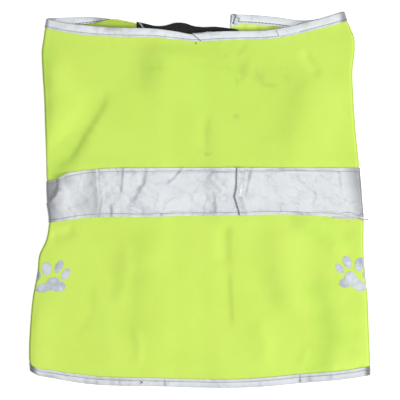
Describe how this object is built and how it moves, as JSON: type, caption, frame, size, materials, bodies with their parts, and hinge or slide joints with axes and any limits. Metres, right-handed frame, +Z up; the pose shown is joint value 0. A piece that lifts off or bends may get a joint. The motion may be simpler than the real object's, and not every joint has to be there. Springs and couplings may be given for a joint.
{
  "type": "high-visibility dog coat laid flat",
  "caption": "Dog coat laid flat, its sides folded under: yellow cloth, a silver band across it, bound neck and hem, black stretch belly panel.",
  "frame": {"origin": "middle of the coat's outline, on the surface that it lies on", "axes": "+X to the right across the back, +Y from the hem to the neck, +Z up out of the surface"},
  "size_m": [0.3552, 0.3918, 0.0087],
  "materials": {
    "yellow_cloth": "matt knitted polyester",
    "reflective_tape": "satin silver tape",
    "binding_tape": "satin silver tape",
    "black_stretch": "matt ribbed elastic"
  },
  "bodies": {
    "root": {"coat_cloth": "yellow_cloth", "reflective_band": "reflective_tape", "hem_binding": "binding_tape", "neck_binding_left": "binding_tape", "neck_binding_right": "binding_tape", "belly_panel": "black_stretch"}
  },
  "joints": []
}
